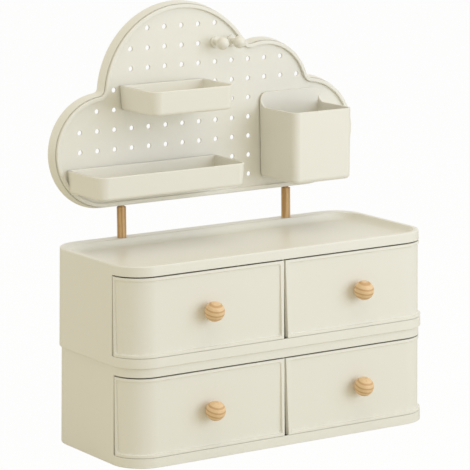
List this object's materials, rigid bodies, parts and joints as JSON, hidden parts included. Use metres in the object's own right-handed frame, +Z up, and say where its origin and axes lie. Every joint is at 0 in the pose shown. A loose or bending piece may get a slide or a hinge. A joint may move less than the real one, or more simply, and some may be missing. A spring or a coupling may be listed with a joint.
{
  "type": "pegboard desk organizer with drawers",
  "caption": "Desk organizer: stacked drawer cabinets with a tray top, and a cloud-shaped pegboard on posts that holds trays, a pen cup and peg hooks.",
  "frame": {"origin": "under the middle of the whole object, on the desk", "axes": "+X to the right seen from the front, +Y to the back, +Z up; drawers open towards -Y"},
  "size_m": [0.364, 0.18, 0.4367],
  "materials": {
    "cabinet_plastic": "moulded cream plastic, satin",
    "inner_plastic": "moulded cream plastic, fine matt",
    "drawer_plastic": "moulded cream plastic, satin",
    "board_plastic": "moulded cream plastic, satin",
    "tray_plastic": "moulded cream plastic, satin",
    "beech": "turned beech, oiled",
    "zinc_screw": "bright zinc plate"
  },
  "bodies": {
    "lower": {"lower_case": "cabinet_plastic", "lower_base_plate": "inner_plastic", "lower_partition": "inner_plastic"},
    "upper": {"upper_case": "cabinet_plastic", "upper_base_plate": "inner_plastic", "upper_partition": "inner_plastic"},
    "board": {"left_post": "beech", "right_post": "beech", "cloud_frame": "board_plastic", "pegboard_panel": "board_plastic", "board_screws": "zinc_screw"},
    "lower_left_drawer": {"lower_left_drawer": "drawer_plastic", "lower_left_knob": "beech", "lower_left_knob_screw": "zinc_screw"},
    "lower_right_drawer": {"lower_right_drawer": "drawer_plastic", "lower_right_knob": "beech", "lower_right_knob_screw": "zinc_screw"},
    "upper_left_drawer": {"upper_left_drawer": "drawer_plastic", "upper_left_knob": "beech", "upper_left_knob_screw": "zinc_screw"},
    "upper_right_drawer": {"upper_right_drawer": "drawer_plastic", "upper_right_knob": "beech", "upper_right_knob_screw": "zinc_screw"},
    "small_tray": {"small_tray": "tray_plastic"},
    "long_tray": {"long_tray": "tray_plastic"},
    "pen_cup": {"pen_cup": "tray_plastic"},
    "left_hook": {"left_hook": "tray_plastic"},
    "right_hook": {"right_hook": "tray_plastic"}
  },
  "joints": [
    {"name": "upper_lift", "type": "slide", "parent": "lower", "child": "upper", "axis": [0, 0, 1], "range_m": [0, 0.03]},
    {"name": "board_lift", "type": "slide", "parent": "upper", "child": "board", "axis": [0, 0, 1], "range_m": [0, 0.08]},
    {"name": "lower_left_drawer_slide", "type": "slide", "parent": "lower", "child": "lower_left_drawer", "axis": [0, -1, 0], "range_m": [0, 0.11]},
    {"name": "lower_right_drawer_slide", "type": "slide", "parent": "lower", "child": "lower_right_drawer", "axis": [0, -1, 0], "range_m": [0, 0.11]},
    {"name": "upper_left_drawer_slide", "type": "slide", "parent": "upper", "child": "upper_left_drawer", "axis": [0, -1, 0], "range_m": [0, 0.11]},
    {"name": "upper_right_drawer_slide", "type": "slide", "parent": "upper", "child": "upper_right_drawer", "axis": [0, -1, 0], "range_m": [0, 0.11]},
    {"name": "small_tray_pull", "type": "slide", "parent": "board", "child": "small_tray", "axis": [0, -1, 0], "range_m": [0, 0.016]},
    {"name": "long_tray_pull", "type": "slide", "parent": "board", "child": "long_tray", "axis": [0, -1, 0], "range_m": [0, 0.016]},
    {"name": "pen_cup_pull", "type": "slide", "parent": "board", "child": "pen_cup", "axis": [0, -1, 0], "range_m": [0, 0.016]},
    {"name": "left_hook_pull", "type": "slide", "parent": "board", "child": "left_hook", "axis": [0, -1, 0], "range_m": [0, 0.016]},
    {"name": "right_hook_pull", "type": "slide", "parent": "board", "child": "right_hook", "axis": [0, -1, 0], "range_m": [0, 0.016]}
  ]
}
